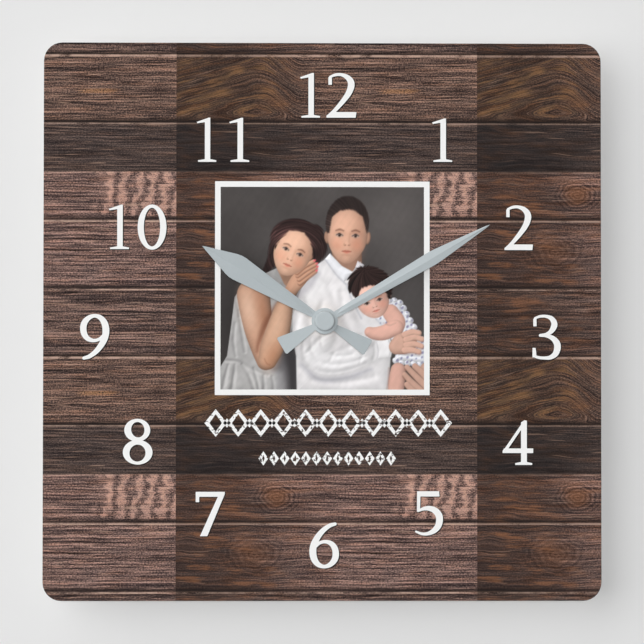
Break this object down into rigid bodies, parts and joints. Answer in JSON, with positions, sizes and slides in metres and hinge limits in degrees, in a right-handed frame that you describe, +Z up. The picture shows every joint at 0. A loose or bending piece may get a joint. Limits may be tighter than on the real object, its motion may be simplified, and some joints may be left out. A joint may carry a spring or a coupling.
{
  "type": "wall clock",
  "caption": "Square wall clock: a printed acrylic panel with rounded corners, tapering hour and minute hands and a quartz movement with a hanging loop behind it.",
  "frame": {"origin": "on the hands' axis, in the plane of the wall that the movement's back lies against", "axes": "+X to the right seen from the front, +Z up, the dial faces -Y"},
  "size_m": [0.273, 0.0314, 0.273],
  "materials": {
    "printed_acrylic": "gloss, printed on the face",
    "hand_paint": "satin grey paint on aluminium sheet",
    "turned_aluminium": "turned",
    "brass": "turned",
    "plated_steel": "zinc plated",
    "black_rubber": "matt",
    "bright_steel": "bright",
    "white_acetal": "moulded",
    "ferrite": "sintered",
    "green_plastic": "moulded",
    "enamelled_copper": "wound wire",
    "circuit_laminate": "solder mask",
    "black_epoxy": "cast drop",
    "nickel_can": "nickel plated",
    "cell_sleeve": "plain printed sleeve",
    "nickel_strip": "nickel plated",
    "black_plastic": "moulded, fine matt"
  },
  "bodies": {
    "movement": {"rear_case": "black_plastic", "front_case": "black_plastic", "centre_plate": "white_acetal", "circuit_board": "circuit_laminate", "controller_chip": "black_epoxy", "quartz_crystal": "nickel_can", "coil_bobbin": "green_plastic", "coil_winding": "enamelled_copper", "coil_core": "bright_steel", "stator_plate": "bright_steel", "motor_screw_left": "bright_steel", "motor_screw_right": "bright_steel", "battery_cell": "cell_sleeve", "positive_contact": "nickel_strip", "negative_contact": "nickel_strip", "threaded_bush": "brass", "rubber_gasket": "black_rubber", "face_panel": "printed_acrylic", "washer": "plated_steel", "fixing_nut": "brass"},
    "minute_work": {"minute_hand": "hand_paint", "cap_nut": "hand_paint", "minute_arbor": "bright_steel"},
    "hour_work": {"hour_hand": "hand_paint", "hour_hand_bush": "turned_aluminium", "hour_wheel": "white_acetal"},
    "minute_wheel": {"minute_wheel": "white_acetal"},
    "setting_work": {"setting_knob": "black_plastic", "setting_wheel": "white_acetal"},
    "centre_work": {"centre_wheel": "white_acetal", "clutch_spring": "bright_steel"},
    "third_wheel": {"third_wheel": "white_acetal"},
    "fourth_wheel": {"fourth_wheel": "white_acetal"},
    "fifth_wheel": {"fifth_wheel": "white_acetal"},
    "rotor": {"rotor_pinion": "white_acetal", "rotor_magnet": "ferrite"}
  },
  "joints": [
    {"name": "minute_turn", "type": "hinge", "parent": "movement", "child": "minute_work", "pos_m": [0, -0.02, 0], "axis": [0, 1, 0], "continuous": true},
    {"name": "hour_turn", "type": "hinge", "parent": "movement", "child": "hour_work", "pos_m": [0, -0.02, 0], "axis": [0, 1, 0], "continuous": true},
    {"name": "minute_wheel_turn", "type": "hinge", "parent": "movement", "child": "minute_wheel", "pos_m": [-0.00783, -0.0115, -0.00166], "axis": [0, 1, 0], "continuous": true},
    {"name": "setting_turn", "type": "hinge", "parent": "movement", "child": "setting_work", "pos_m": [-0.0162, -0.005, -0.00231], "axis": [0, 1, 0], "continuous": true},
    {"name": "centre_turn", "type": "hinge", "parent": "movement", "child": "centre_work", "pos_m": [0, -0.0076, 0], "axis": [0, 1, 0], "continuous": true},
    {"name": "third_turn", "type": "hinge", "parent": "movement", "child": "third_wheel", "pos_m": [-0.00797, -0.006, 0.00668], "axis": [0, 1, 0], "continuous": true},
    {"name": "fourth_turn", "type": "hinge", "parent": "movement", "child": "fourth_wheel", "pos_m": [0, -0.0044, 0], "axis": [0, 1, 0], "continuous": true},
    {"name": "fifth_turn", "type": "hinge", "parent": "movement", "child": "fifth_wheel", "pos_m": [0.01034, -0.0028, 0.00182], "axis": [0, 1, 0], "continuous": true},
    {"name": "rotor_turn", "type": "hinge", "parent": "movement", "child": "rotor", "pos_m": [0.01471, -0.005, 0.00703], "axis": [0, 1, 0], "continuous": true}
  ],
  "couplings": [
    {"joint": "hour_turn", "follows": "minute_turn", "ratio": 0.083333},
    {"joint": "minute_wheel_turn", "follows": "minute_turn", "ratio": -0.33333},
    {"joint": "setting_turn", "follows": "minute_turn", "ratio": 0.83333},
    {"joint": "centre_turn", "follows": "minute_turn", "ratio": 1},
    {"joint": "third_turn", "follows": "minute_turn", "ratio": -8},
    {"joint": "fourth_turn", "follows": "minute_turn", "ratio": 60},
    {"joint": "fifth_turn", "follows": "minute_turn", "ratio": -240},
    {"joint": "rotor_turn", "follows": "minute_turn", "ratio": 1800}
  ]
}
